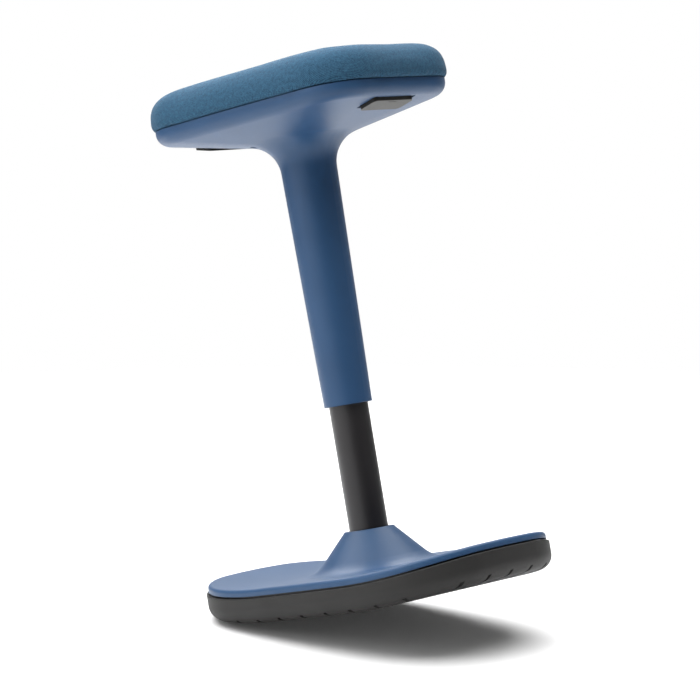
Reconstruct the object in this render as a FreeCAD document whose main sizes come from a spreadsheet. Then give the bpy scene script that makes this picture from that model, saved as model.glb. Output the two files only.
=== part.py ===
# Perch stool: a padded seat on a sprung column, standing on a bent rocker foot.
# X runs to the sitter's side, the front is -Y and Z is up, in millimetres.
# The origin is on the floor under the column, and the seat stands at mid height.

import FreeCAD, Part
import math
import os
import re
import Sketcher

V = FreeCAD.Vector
doc = FreeCAD.newDocument("PerchStool")
sheet = doc.addObject("Spreadsheet::Sheet", "Sizes")

# Driving dimensions
SIZES = [
    ("foot_half_x", 225, "foot shell, column to side end"),
    ("foot_half_y", 150, "foot shell, column to front edge"),
    ("foot_bow_x", 20, "how far a side end bows out"),
    ("foot_bow_y", 21, "how far the front edge bows out"),
    ("foot_corner", 105, "foot corner radius"),
    ("foot_thickness", 9, "foot shell at its rim"),
    ("foot_rim_round", 4.5, "rounding of the foot shell's upper rim"),
    ("foot_skin", 3.5, "moulded wall of the foot shell"),
    ("foot_rim_wall", 10, "solid edge round the shell's underside"),
    ("foot_rib", 3, "rib under the foot shell"),
    ("rocker_flat", 70, "half of the flat middle of the sole"),
    ("rocker_radius", 770, "bend of the sole towards its side ends"),
    ("sole_thickness", 32.5, "rubber sole"),
    ("sole_outset", 3, "sole beyond the foot shell"),
    ("sole_round", 19, "rounding of the sole's lower edge"),
    ("sole_lip_round", 1.5, "rounding of the sole's upper lip"),
    ("tread_depth", 5, "tread slot"),
    ("tread_width", 5, "tread slot"),
    ("tread_pitch", 40, "tread slot to tread slot"),
    ("tread_length", 44, "tread slot, from the sole's edge inwards"),
    ("plate_thickness", 2.5, "steel plate between sole and shell"),
    ("plate_inset", 7, "steel plate inside the foot shell's edge"),
    ("foot_screw_radius", 2.5, "screws that hold the shell to the plate"),
    ("foot_screw_head", 4.5, "their heads"),
    ("foot_screw_x", 60, "four foot screws from the column axis, sideways"),
    ("foot_screw_y", 105, "four foot screws from the column axis, forwards"),
    ("foot_screw_end", 185, "two foot screws near the side ends"),
    ("foot_boss_wall", 3.5, "plastic round each foot screw"),
    ("cone_top_radius", 31.5, "top of the foot's raised cone"),
    ("cone_height", 49, "cone above the foot shell's face"),
    ("cone_foot_radius", 77, "where the cone's line meets the face"),
    ("cone_fillet", 38, "hollow curve from cone to face"),
    ("cone_gap", 1.3, "opening between cone and standpipe"),
    ("cone_lip", 5, "upright length of the cone's opening"),
    ("socket_wall", 4, "steel cup that holds the standpipe"),
    ("socket_height", 50, "cup above the foot plate"),
    ("socket_floor", 3, "floor of the cup"),
    ("socket_flange_radius", 46, "flange of the cup"),
    ("socket_bolt_circle", 37, "bolts from column axis"),
    ("socket_bolt_radius", 3, "bolts that hold the cup"),
    ("pipe_radius", 25, "standpipe outside"),
    ("pipe_wall", 2.4, "standpipe wall"),
    ("pipe_length", 314, "standpipe"),
    ("bush_length", 60, "plastic guide in the top of the standpipe"),
    ("bush_flange", 2.5, "collar of the guide on the pipe's end"),
    ("disc_height", 12, "bearing disc above the cup's floor"),
    ("disc_thickness", 6, "bearing disc"),
    ("washer_thickness", 1.5, "thrust washers"),
    ("washer_radius", 14, "thrust washers"),
    ("ball_radius", 2, "thrust balls"),
    ("ball_circle", 10, "ball centres from the axis"),
    ("ball_count", 10, "thrust balls"),
    ("rod_radius", 5, "piston rod"),
    ("rod_length", 276, "piston rod"),
    ("rod_collar_radius", 8, "collar that rests on the thrust washer"),
    ("rod_collar_height", 3, "collar"),
    ("clip_radius", 9, "retaining clip"),
    ("clip_thickness", 1.2, "retaining clip"),
    ("clip_groove", 0.9, "depth of the clip's groove in the rod"),
    ("stop_height", 11, "rubber bump stop"),
    ("stop_radius", 11.5, "rubber bump stop"),
    ("piston_height", 10, "piston"),
    ("tube_radius", 14, "pressure tube outside"),
    ("tube_wall", 2, "pressure tube wall"),
    ("tube_length", 383, "pressure tube"),
    ("tube_cap", 14, "solid top of the pressure tube"),
    ("tube_taper_length", 30, "tapered seat of the tube in its hub"),
    ("tube_taper", 0.8, "how much the radius shrinks along the taper"),
    ("seal_length", 20, "guide and seal in the tube's lower end"),
    ("tube_bottom", 225, "lower end of the tube above the floor, seat at mid height"),
    ("run_gap", 0.05, "play between sliding or turning fits"),
    ("free_gap", 0.4, "air between pieces that move past each other"),
    ("seat_half_x", 180, "seat shell rim, column to side"),
    ("seat_half_y", 122, "seat shell rim, column to front"),
    ("seat_bow_x", 3, "how far a seat side bows out"),
    ("seat_bow_y", 7, "how far the seat's front bows out"),
    ("seat_corner", 60, "seat corner radius"),
    ("seam_height", 637, "seat shell rim above the floor"),
    ("shell_wall", 3.5, "moulded wall of the seat shell"),
    ("shell_round", 17, "rounding between the shell's side and underside"),
    ("shell_side", 17, "upright side of the shell, rim to underside"),
    ("funnel_height", 49, "rim to the place where the underside would meet the sleeve"),
    ("funnel_fillet", 42, "curve from underside to sleeve"),
    ("sleeve_bottom", 252, "lower end of the sleeve above the floor"),
    ("sleeve_radius", 30.75, "sleeve outside at its lower end"),
    ("sleeve_slope", 0.0169, "widening of the sleeve for each millimetre up"),
    ("sleeve_edge", 1.2, "rounding of the sleeve's lower edge"),
    ("shell_rib", 3, "ribs inside the seat shell"),
    ("rib_drop", 7, "rib tops below the rim"),
    ("rib_start", 38, "shell ribs from the column axis"),
    ("boss_radius", 6.5, "screw bosses inside the seat shell"),
    ("boss_reach", 65, "screw bosses from the column axis"),
    ("boss_angle", 43, "direction of the first boss, in degrees from +X"),
    ("shell_screw_radius", 2.2, "screws from below into the bracket"),
    ("shell_screw_head", 4, "their heads"),
    ("screw_seat", 39, "seats of the shell screws below the rim"),
    ("glide_length", 14, "glide ring in the sleeve's lower end"),
    ("glide_gap", 0.35, "glide ring to standpipe"),
    ("window_gap", 2, "gap round a paddle in the shell"),
    ("paddle_reach", 148, "paddle centre from the column axis"),
    ("paddle_width", 29, "paddle, sideways"),
    ("paddle_length", 72, "paddle, front to back"),
    ("paddle_thickness", 5, "paddle"),
    ("paddle_proud", 4, "paddle below the shell's face"),
    ("paddle_round", 6, "paddle corner radius"),
    ("lever_thickness", 4, "lever"),
    ("lever_width", 14, "lever"),
    ("lever_tip", 9, "lever's inner tip from the column axis"),
    ("pivot_reach", 42, "lever pivot from the column axis"),
    ("pivot_radius", 2.5, "pivot pin"),
    ("eye_wall", 3, "lever round its pivot hole"),
    ("ear_thickness", 3, "pivot ears under the bracket plate"),
    ("ear_half", 8, "half of an ear's width"),
    ("cap_radius", 13, "cap that the levers press"),
    ("cap_thickness", 4, "cap that the levers press"),
    ("button_radius", 4, "valve button of the tube"),
    ("button_proud", 5, "button above the tube"),
    ("spring_reach", 66, "lever springs from the column axis"),
    ("spring_radius", 5, "lever spring outside"),
    ("spring_wire", 1.2, "lever spring wire"),
    ("bracket_half_x", 80, "bracket plate"),
    ("bracket_half_y", 58, "bracket plate"),
    ("bracket_thickness", 4, "bracket plate"),
    ("bracket_corner", 14, "bracket plate corner radius"),
    ("bracket_lip", 10, "turned-down front and rear edges"),
    ("hub_wall", 6, "hub round the tube's taper"),
    ("board_screw_x", 28, "board screws from the column axis, sideways"),
    ("board_screw_y", 42, "board screws from the column axis, forwards"),
    ("board_screw_radius", 3, "board screws"),
    ("board_screw_head", 5.5, "their heads"),
    ("board_screw_head_height", 3, "their heads"),
    ("nut_height", 7, "nuts pressed into the board"),
    ("nut_radius", 4.2, "barrel of a board nut"),
    ("nut_flange", 9, "flange of a board nut"),
    ("nut_plate", 1.5, "thickness of that flange, let into the board"),
    ("board_thickness", 10, "plywood seat board"),
    ("board_inset", 5, "board inside the cushion's edge"),
    ("cushion_side", 15, "upright part of the cushion's side"),
    ("crown_rise", 10, "crown of the cushion above its rounded edge"),
    ("cushion_overhang", 2.5, "cushion beyond the shell"),
    ("cushion_round", 21, "rounding of the cushion's top edge"),
    ("cushion_tuck", 2.5, "how far the cushion draws in at its seam"),
    ("cover_thickness", 1.5, "fabric cover"),
    ("hem_width", 24, "cover folded under the board"),
]
for row, (name, size, meaning) in enumerate(SIZES, 1):
    sheet.set("A%d" % row, meaning)
    sheet.set("B%d" % row, str(size))
    sheet.setAlias("B%d" % row, name)
doc.recompute()
NAMES = {name for name, size, meaning in SIZES}

# Levels and places that follow from the driving dimensions
PLATE_LOW = "sole_thickness"
FOOT_LOW = "(sole_thickness + plate_thickness)"
FOOT_TOP = "(sole_thickness + plate_thickness + foot_thickness)"
CONE_TOP = "(sole_thickness + plate_thickness + foot_thickness + cone_height)"
PIPE_LOW = "(sole_thickness + plate_thickness + socket_floor)"
PIPE_TOP = f"({PIPE_LOW} + pipe_length)"
PIPE_BORE = "(pipe_radius - pipe_wall)"
DISC_LOW = f"({PIPE_LOW} + disc_height)"
DISC_TOP = f"({DISC_LOW} + disc_thickness)"
BALL_LOW = f"({DISC_TOP} + washer_thickness)"
COLLAR_LOW = f"({BALL_LOW} + 2 * ball_radius + washer_thickness)"
COLLAR_TOP = f"({COLLAR_LOW} + rod_collar_height)"
CLIP_TOP = f"({DISC_LOW} - free_gap / 2)"
ROD_LOW = f"({CLIP_TOP} - 4 * clip_thickness)"
ROD_TOP = f"({ROD_LOW} + rod_length)"
TUBE_BORE = "(tube_radius - tube_wall)"
TUBE_TOP = "(tube_bottom + tube_length)"
TAPER_LOW = f"({TUBE_TOP} - tube_taper_length)"
TAPER_TOP_RADIUS = "(tube_radius - tube_taper)"
CAP_LOW = f"({TUBE_TOP} + button_proud)"
LEVER_LOW = f"({CAP_LOW} + cap_thickness + free_gap)"
LEVER_TOP = f"({LEVER_LOW} + lever_thickness)"
PIVOT_HEIGHT = f"({LEVER_LOW} + lever_thickness / 2)"
BRACKET_TOP = "(seam_height + cover_thickness)"
BRACKET_LOW = f"({BRACKET_TOP} - bracket_thickness)"
BOARD_TOP = f"({BRACKET_TOP} + board_thickness)"
FUNNEL_FLOOR = "(seam_height - funnel_height)"
SIDE_LOW = "(seam_height - shell_side)"
HUB_RADIUS = "(tube_radius + hub_wall)"
FAR = "400"


def formula(text):
    """Turns size names into references to the sheet."""
    return re.sub(r"[a-z_]+", lambda m: "Sizes." + m.group() if m.group() in NAMES else m.group(), text)


def number(text):
    """The value of a formula with the present sizes."""
    return float(doc.Sizes.evalExpression(str(text)))


def bind(item, **sizes):
    """Ties properties of an object to formulas of the sheet."""
    for prop, text in sizes.items():
        item.setExpression(prop, formula(str(text)))


# Sketches and bodies

def new_body(label):
    """An empty body with its own label."""
    body = doc.addObject("PartDesign::Body", label)
    body.Label = label
    return body


def new_sketch(body, role, name):
    """A sketch on one of the body's own origin planes."""
    sketch = body.newObject("Sketcher::SketchObject", name)
    plane = next(item for item in body.Origin.OriginFeatures if item.Role == role)
    sketch.AttachmentSupport = [(plane, "")]
    sketch.MapMode = "FlatFace"
    return sketch


def arc_middle(start, end, radius, side):
    """The middle point of the shorter arc that bulges to one side of start to end."""
    chord = end - start
    half = chord.Length / 2
    rise = radius - math.sqrt(radius * radius - half * half)
    across = V(-chord.y, chord.x, 0).normalize()
    return (start + end) * 0.5 + across * (rise * side)


def fix_coordinate(sketch, kind, edge, end, text):
    """Ties one coordinate of an edge's end to a formula."""
    if abs(number(text)) < 1e-9:
        axis = -2 if kind == "DistanceX" else -1
        sketch.addConstraint(Sketcher.Constraint("PointOnObject", edge, end, axis))
        return
    index = sketch.addConstraint(Sketcher.Constraint(kind, -1, 1, edge, end, number(text)))
    sketch.setExpression("Constraints[%d]" % index, formula(str(text)))


def draw(sketch, corners, arcs=None):
    """Draws a closed outline through corners, each a pair of formulas.

    arcs gives, for the edge that leaves a corner, its radius and the side it bulges to.
    """
    arcs = arcs or {}
    points = [V(number(x), number(y), 0) for x, y in corners]
    count = len(points)
    starts = []
    ends = []
    for i, start in enumerate(points):
        end = points[(i + 1) % count]
        if i in arcs:
            radius, side = arcs[i]
            middle = arc_middle(start, end, number(radius), side)
            arc = Part.Arc(start, middle, end) if side < 0 else Part.Arc(end, middle, start)
            edge = sketch.addGeometry(arc, False)
            index = sketch.addConstraint(Sketcher.Constraint("Radius", edge, number(radius)))
            sketch.setExpression("Constraints[%d]" % index, formula(str(radius)))
        else:
            edge = sketch.addGeometry(Part.LineSegment(start, end), False)
        forward = (sketch.Geometry[edge].StartPoint - start).Length < 1e-6
        starts.append((edge, 1 if forward else 2))
        ends.append((edge, 2 if forward else 1))
    for i, (x, y) in enumerate(corners):
        edge, end = starts[i]
        sketch.addConstraint(Sketcher.Constraint("Coincident", *ends[i - 1], edge, end))
        fix_coordinate(sketch, "DistanceX", edge, end, x)
        fix_coordinate(sketch, "DistanceY", edge, end, y)


def turned(label, corners, arcs=None):
    """A body turned about the column axis from a half section of (radius, height)."""
    body = new_body(label)
    sketch = new_sketch(body, "XZ_Plane", label + "_section")
    draw(sketch, corners, arcs)
    turn = body.newObject("PartDesign::Revolution", label + "_turn")
    turn.Profile = sketch
    turn.ReferenceAxis = (sketch, ["V_Axis"])
    turn.Angle = 360
    return body


def ring(label, inner, outer, low, high):
    """A turned ring or tube between two radii and two heights."""
    return turned(label, [(inner, low), (outer, low), (outer, high), (inner, high)])


def disc(label, radius, low, high):
    """A turned solid disc."""
    return turned(label, [("0", low), (radius, low), (radius, high), ("0", high)])


def side_profile(label, corners, width, arcs=None):
    """A body padded both ways along Y from a profile in X and Z."""
    body = new_body(label)
    sketch = new_sketch(body, "XZ_Plane", label + "_profile")
    draw(sketch, corners, arcs)
    pad = body.newObject("PartDesign::Pad", label + "_pad")
    pad.Profile = sketch
    pad.Midplane = True
    bind(pad, Length=width)
    return body


def meeting_point(first, first_reach, second, second_reach):
    """Where two circles cross, on the side away from the origin."""
    gap = second - first
    along = (first_reach ** 2 - second_reach ** 2 + gap.Length ** 2) / (2 * gap.Length)
    across = math.sqrt(first_reach ** 2 - along ** 2)
    unit = V(gap).normalize()
    normal = V(-unit.y, unit.x, 0)
    options = [first + unit * along + normal * across * side for side in (-1, 1)]
    return max(options, key=lambda point: point.x + point.y)


def bowed_arcs(half_x, half_y, bow_x, bow_y, corner):
    """Eight tangent arcs of a rectangle whose sides bow outwards, starting at its right rear corner."""
    x = half_x - bow_x
    y = half_y - bow_y
    side_radius = (y * y + bow_x * bow_x) / (2 * bow_x)
    front_radius = (x * x + bow_y * bow_y) / (2 * bow_y)
    side_centre = V(half_x - side_radius, 0, 0)
    front_centre = V(0, half_y - front_radius, 0)
    centre = meeting_point(side_centre, side_radius - corner, front_centre, front_radius - corner)
    on_side = side_centre + V(centre - side_centre).normalize() * side_radius
    on_front = front_centre + V(centre - front_centre).normalize() * front_radius
    on_corner = centre + V(centre).normalize() * corner
    arcs = []
    for i, (across, up) in enumerate(((1, 1), (-1, 1), (-1, -1), (1, -1))):
        low, high = (on_side, on_front) if i % 2 == 0 else (on_front, on_side)
        start = V(low.x * across, low.y * up, 0)
        middle = V(on_corner.x * across, on_corner.y * up, 0)
        end = V(high.x * across, high.y * up, 0)
        if i % 2 == 0:
            top = V(0, half_y * up, 0)
            following = V(-end.x, end.y, 0)
        else:
            top = V(half_x * across, 0, 0)
            following = V(end.x, -end.y, 0)
        arcs.append(Part.Arc(start, middle, end))
        arcs.append(Part.Arc(end, top, following))
    return arcs


def bowed_wire(sizes, level):
    """The bowed outline as a level wire."""
    wire = Part.Wire([arc.toShape() for arc in bowed_arcs(*sizes)])
    wire.translate(V(0, 0, level))
    return wire


def draw_bowed(sketch, half_x, half_y, bow_x, bow_y, corner):
    """Draws the bowed outline in a sketch, tied to formulas."""
    x = f"({half_x} - {bow_x})"
    y = f"({half_y} - {bow_y})"
    side_radius = f"(({y}^2 + {bow_x}^2) / (2 * {bow_x}))"
    front_radius = f"(({x}^2 + {bow_y}^2) / (2 * {bow_y}))"
    sizes = [number(text) for text in (half_x, half_y, bow_x, bow_y, corner)]
    arcs = [sketch.addGeometry(arc, False) for arc in bowed_arcs(*sizes)]
    for i, arc in enumerate(arcs):
        sketch.addConstraint(Sketcher.Constraint("Tangent", arc, 2, arcs[(i + 1) % 8], 1))
    for i in (0, 2, 4, 6):
        index = sketch.addConstraint(Sketcher.Constraint("Radius", arcs[i], number(corner)))
        sketch.setExpression("Constraints[%d]" % index, formula(corner))
    sides = [(1, front_radius, "0", f"({half_y} - {front_radius})"),
             (3, side_radius, f"({side_radius} - ({half_x}))", "0"),
             (5, front_radius, "0", f"({front_radius} - ({half_y}))"),
             (7, side_radius, f"({half_x} - {side_radius})", "0")]
    for i, radius, across, up in sides:
        index = sketch.addConstraint(Sketcher.Constraint("Radius", arcs[i], number(radius)))
        sketch.setExpression("Constraints[%d]" % index, formula(radius))
        fix_coordinate(sketch, "DistanceX", arcs[i], 3, across)
        fix_coordinate(sketch, "DistanceY", arcs[i], 3, up)


def circles_at(radius, height):
    """A test for level circles about the column axis."""
    def test(edge):
        point = edge.valueAt(edge.FirstParameter)
        return abs(math.hypot(point.x, point.y) - number(radius)) < 1 and abs(point.z - number(height)) < 1
    return test


def round_edges(body, name, radius, test):
    """Rounds the edges of a body's last feature that pass a test."""
    doc.recompute()
    base = body.Tip
    names = ["Edge%d" % i for i, edge in enumerate(base.Shape.Edges, 1) if test(edge)]
    fillet = body.newObject("PartDesign::Fillet", name)
    fillet.Base = (base, names)
    bind(fillet, Radius=radius)
    doc.recompute()


def bowed_prism(label, sizes, corner, low, high):
    """A prism with a bowed outline and round corners between two heights."""
    body = new_body(label)
    sketch = new_sketch(body, "XY_Plane", label + "_outline")
    draw_bowed(sketch, *sizes, corner)
    sketch.setExpression("AttachmentOffset.Base.z", formula(low))
    pad = body.newObject("PartDesign::Pad", label + "_pad")
    pad.Profile = sketch
    bind(pad, Length=f"{high} - ({low})")
    return body


def cut(label, base, *tools):
    """The base without its tools."""
    item = doc.addObject("Part::Cut", label)
    item.Base = base
    item.Tool = tools[0] if len(tools) == 1 else fuse(label + "_tools", *tools)
    return item


def fuse(label, *parts):
    """Several solids joined."""
    item = doc.addObject("Part::MultiFuse", label)
    item.Shapes = list(parts)
    return item


def common(label, *parts):
    """What several solids share."""
    item = doc.addObject("Part::MultiCommon", label)
    item.Shapes = list(parts)
    return item


def box(label, x, y, low, high, centre=("0", "0")):
    """A block centred on a place, with half sizes along X and Y."""
    item = doc.addObject("Part::Box", label)
    bind(item, Length=f"2 * ({x})", Width=f"2 * ({y})", Height=f"{high} - ({low})")
    item.setExpression("Placement.Base.x", formula(f"{centre[0]} - ({x})"))
    item.setExpression("Placement.Base.y", formula(f"{centre[1]} - ({y})"))
    item.setExpression("Placement.Base.z", formula(low))
    return item


def turned_box(label, start, length, thickness, low, high, angle):
    """An upright plate that runs from a reach outwards, at an angle from +X."""
    item = doc.addObject("Part::Box", label)
    bind(item, Length=length, Width=thickness, Height=f"{high} - ({low})")
    item.Placement.Rotation = FreeCAD.Rotation(V(0, 0, 1), angle)
    item.setExpression("Placement.Base.x", formula(f"{start} * cos({angle}) + {thickness} / 2 * sin({angle})"))
    item.setExpression("Placement.Base.y", formula(f"{start} * sin({angle}) - {thickness} / 2 * cos({angle})"))
    item.setExpression("Placement.Base.z", formula(low))
    return item


def long_rib(label, length, thickness, low, high, angle):
    """An upright plate through the column axis."""
    return turned_box(label, f"(0 - ({length}) / 2)", length, thickness, low, high, angle)


def post(label, radius, low, high, centre=("0", "0")):
    """An upright cylinder at a place."""
    item = doc.addObject("Part::Cylinder", label)
    bind(item, Radius=radius, Height=f"{high} - ({low})")
    item.setExpression("Placement.Base.x", formula(centre[0]))
    item.setExpression("Placement.Base.y", formula(centre[1]))
    item.setExpression("Placement.Base.z", formula(low))
    return item


def polar(reach, angle):
    """A place at a reach and an angle in degrees from +X, as formulas."""
    return f"({reach}) * cos({angle})", f"({reach}) * sin({angle})"


# Foot: rubber sole, steel plate and moulded shell, all bent to the same rocker

ROCKER_REACH = "(foot_half_x + sole_outset + 15)"


def rocker_end(level):
    """Height at the reach of a bent face that lies at a level in the flat middle."""
    run = f"({ROCKER_REACH} - rocker_flat)"
    return f"(rocker_radius - sqrt((rocker_radius - ({level}))^2 - {run}^2))"


def rocker_height(x, level):
    """Height at x of a bent face, as a number."""
    radius = number("rocker_radius")
    run = max(abs(x) - number("rocker_flat"), 0)
    return radius - math.sqrt((radius - number(level)) ** 2 - run ** 2)


def lift_at(x, level):
    """Height at x of a bent face, as a formula."""
    if abs(number(x)) <= number("rocker_flat"):
        return level
    run = f"(abs({x}) - rocker_flat)"
    return f"(rocker_radius - sqrt((rocker_radius - ({level}))^2 - {run}^2))"


def rocker_body(label, low, high, outset, corner):
    """A plate with the foot's outline, bent to the rocker between two levels."""
    low_end = rocker_end(low)
    high_end = rocker_end(high)
    corners = [
        (f"-{ROCKER_REACH}", low_end), ("-rocker_flat", low), ("rocker_flat", low), (ROCKER_REACH, low_end),
        (ROCKER_REACH, high_end), ("rocker_flat", high), ("-rocker_flat", high), (f"-{ROCKER_REACH}", high_end),
    ]
    low_arc = (f"(rocker_radius - ({low}))", -1)
    high_arc = (f"(rocker_radius - ({high}))", 1)
    body = side_profile(label, corners, FAR, {0: low_arc, 2: low_arc, 4: high_arc, 6: high_arc})
    trim = new_sketch(body, "XY_Plane", label + "_outline")
    draw_bowed(trim, f"(foot_half_x + {outset})", f"(foot_half_y + {outset})", "foot_bow_x", "foot_bow_y", corner)
    draw(trim, [(FAR, f"-{FAR}"), (FAR, FAR), (f"-{FAR}", FAR), (f"-{FAR}", f"-{FAR}")])
    pocket = body.newObject("PartDesign::Pocket", label + "_trim")
    pocket.Profile = trim
    pocket.Midplane = True
    bind(pocket, Length=FAR)
    return body


def rim_of_bent_face(level):
    """A test for the outer edge of a bent face, which follows the foot's outline."""
    least_reach = number("foot_half_y") - number("foot_bow_y")

    def test(edge):
        ends = [edge.valueAt(edge.FirstParameter), edge.valueAt(edge.LastParameter)]
        middle = edge.valueAt((edge.FirstParameter + edge.LastParameter) / 2)
        crosses = abs(ends[0].x - ends[1].x) < 0.01
        for point in ends + [middle]:
            on_face = abs(point.z - rocker_height(point.x, level)) < 0.3
            if crosses or not on_face or math.hypot(point.x, point.y) < least_reach:
                return False
        return True
    return test


def fastener(label, place, radius, low, high, head_radius, head_height, countersunk=False):
    """A screw that points up from its head at a place."""
    shank = post(label + "_shank", radius, low, high, place)
    if countersunk:
        head = doc.addObject("Part::Cone", label + "_head")
        bind(head, Radius1=head_radius, Radius2=radius, Height=head_height)
        for axis, text in zip("xyz", (*place, low)):
            head.setExpression("Placement.Base." + axis, formula(text))
    else:
        head = post(label + "_head", head_radius, f"{low} - ({head_height})", low, place)
    return fuse(label, shank, head)


# The rubber sole, with tread slots that run out through its rounded edge
sole_blank = rocker_body("sole_blank", "0", "sole_thickness", "sole_outset", "foot_corner + sole_outset")
round_edges(sole_blank, "sole_lower_round", "sole_round", rim_of_bent_face("0"))
round_edges(sole_blank, "sole_lip", "sole_lip_round", rim_of_bent_face("sole_thickness"))
tread_skin = rocker_body("tread_skin", "-1", "tread_depth", "sole_outset + 2", "foot_corner + sole_outset")

slots = []
slots_each_way = int(number("(foot_half_x - foot_bow_x) / tread_pitch"))
for side in (-1, 1):
    for i in range(-slots_each_way, slots_each_way + 1):
        place = (f"{i} * tread_pitch", f"{side} * (foot_half_y + sole_outset - tread_length / 2)")
        slots.append(box(f"tread_{side + 1}_{i + slots_each_way}", "tread_width / 2", "tread_length / 2 + 3",
                         "-1", "foot_half_y / 2", place))
    for i in (-2, -1, 0, 1, 2):
        place = (f"{side} * (foot_half_x + sole_outset - tread_length / 2)", f"{i} * tread_pitch")
        slots.append(box(f"tread_end_{side + 1}_{i + 2}", "tread_length / 2 + 3", "tread_width / 2",
                         "-1", "foot_half_y / 2", place))
tread = common("tread", fuse("tread_slots", *slots), tread_skin)

# Screws that go up through the plate into the moulded shell
FOOT_SCREWS = [(f"{i} * foot_screw_x", f"{j} * foot_screw_y") for i in (-1, 1) for j in (-1, 1)]
FOOT_SCREWS += [(f"{i} * foot_screw_end", "0") for i in (-1, 1)]
screws = []
bosses = []
seats = []
for i, place in enumerate(FOOT_SCREWS):
    lift = lift_at(place[0], PLATE_LOW)
    top = f"({lift} + plate_thickness + foot_thickness - foot_skin)"
    screws.append(fastener(f"foot_screw_{i}", place, "foot_screw_radius", lift, top,
                           "foot_screw_head", "plate_thickness", True))
    bosses.append(post(f"foot_boss_{i}", "foot_screw_radius + foot_boss_wall", lift, f"{top} + foot_skin / 2", place))
    seats.append(post(f"foot_seat_{i}", "foot_screw_head + 1", f"{lift} - 2 * free_gap", f"{lift} + 3", place))
foot_screws = fuse("foot_screws", *screws)

# The steel cup that holds the standpipe, bolted through the plate
FLANGE_TOP = f"({FOOT_LOW} + socket_floor + 2)"
column_socket_blank = turned("column_socket_blank", [
    ("0", FOOT_LOW), ("socket_flange_radius", FOOT_LOW), ("socket_flange_radius", FLANGE_TOP),
    ("pipe_radius + socket_wall", FLANGE_TOP), ("pipe_radius + socket_wall", f"{FOOT_LOW} + socket_height"),
    ("pipe_radius", f"{FOOT_LOW} + socket_height"), ("pipe_radius", PIPE_LOW), ("0", PIPE_LOW)])
bolts = []
nuts = []
for i in range(4):
    place = polar("socket_bolt_circle", 45 + 90 * i)
    bolts.append(fastener(f"socket_bolt_{i}", place, "socket_bolt_radius", PLATE_LOW, f"{FLANGE_TOP} + 7",
                          "socket_bolt_radius * 1.8", "plate_thickness", True))
    nuts.append(post(f"socket_nut_{i}", "socket_bolt_radius * 1.75", FLANGE_TOP, f"{FLANGE_TOP} + 5", place))
socket_bolts = fuse("socket_bolts", *bolts)
socket_nuts = cut("socket_nuts", fuse("socket_nut_blanks", *nuts), socket_bolts)
column_socket = cut("column_socket", column_socket_blank, socket_bolts)

rubber_sole = cut("rubber_sole", sole_blank, tread, *seats)
plate_blank = rocker_body("plate_blank", PLATE_LOW, FOOT_LOW, "(0 - plate_inset)", "foot_corner - plate_inset")
foot_plate = cut("foot_plate", plate_blank, foot_screws, socket_bolts)

# The moulded foot shell: a bent plate that rises to a cone round the standpipe, ribbed below
foot_blank = rocker_body("foot_blank", FOOT_LOW, FOOT_TOP, "0", "foot_corner")
cone_sketch = new_sketch(foot_blank, "XZ_Plane", "cone_section")
draw(cone_sketch, [("0", f"{FOOT_LOW} + 1"), ("cone_foot_radius", f"{FOOT_LOW} + 1"),
                   ("cone_foot_radius", FOOT_TOP), ("cone_top_radius", CONE_TOP), ("0", CONE_TOP)])
cone = foot_blank.newObject("PartDesign::Revolution", "cone")
cone.Profile = cone_sketch
cone.ReferenceAxis = (cone_sketch, ["V_Axis"])
cone.Angle = 360
round_edges(foot_blank, "cone_to_face", "cone_fillet", circles_at("cone_foot_radius", FOOT_TOP))
round_edges(foot_blank, "cone_top_edge", "1.2", circles_at("cone_top_radius", CONE_TOP))
round_edges(foot_blank, "foot_rim", "foot_rim_round", rim_of_bent_face(FOOT_TOP))

CONE_WALL = "(foot_skin * 1.45)"
CONE_SLOPE = "((cone_foot_radius - cone_top_radius) / cone_height)"
LEDGE = f"({CONE_TOP} - cone_lip)"
cone_hollow = turned("cone_hollow", [
    ("0", f"{FOOT_LOW} - 1"), (f"cone_foot_radius - {CONE_WALL}", f"{FOOT_LOW} - 1"),
    (f"cone_foot_radius - {CONE_WALL}", FOOT_TOP),
    (f"cone_top_radius + cone_lip * {CONE_SLOPE} - {CONE_WALL}", LEDGE),
    ("pipe_radius + cone_gap", LEDGE), ("pipe_radius + cone_gap", f"{CONE_TOP} + 1"), ("0", f"{CONE_TOP} + 1")])
pan = rocker_body("foot_pan", f"({FOOT_LOW} - 1)", f"({FOOT_TOP} - foot_skin)", "(0 - foot_rim_wall)",
                  "foot_corner - foot_rim_wall")
ribs = [long_rib(f"foot_rib_{angle}", "foot_half_x + foot_half_y", "foot_rib", f"{FOOT_LOW} - 2",
                 f"{FOOT_TOP} + cone_height", angle) for angle in (15, 40, 65, 90, 115, 140, 165)]
foot_cavity = cut("foot_cavity", pan, fuse("foot_stiffening", *ribs, *bosses))
foot_shell = cut("foot_shell", foot_blank, foot_cavity, cone_hollow, foot_screws)


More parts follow.
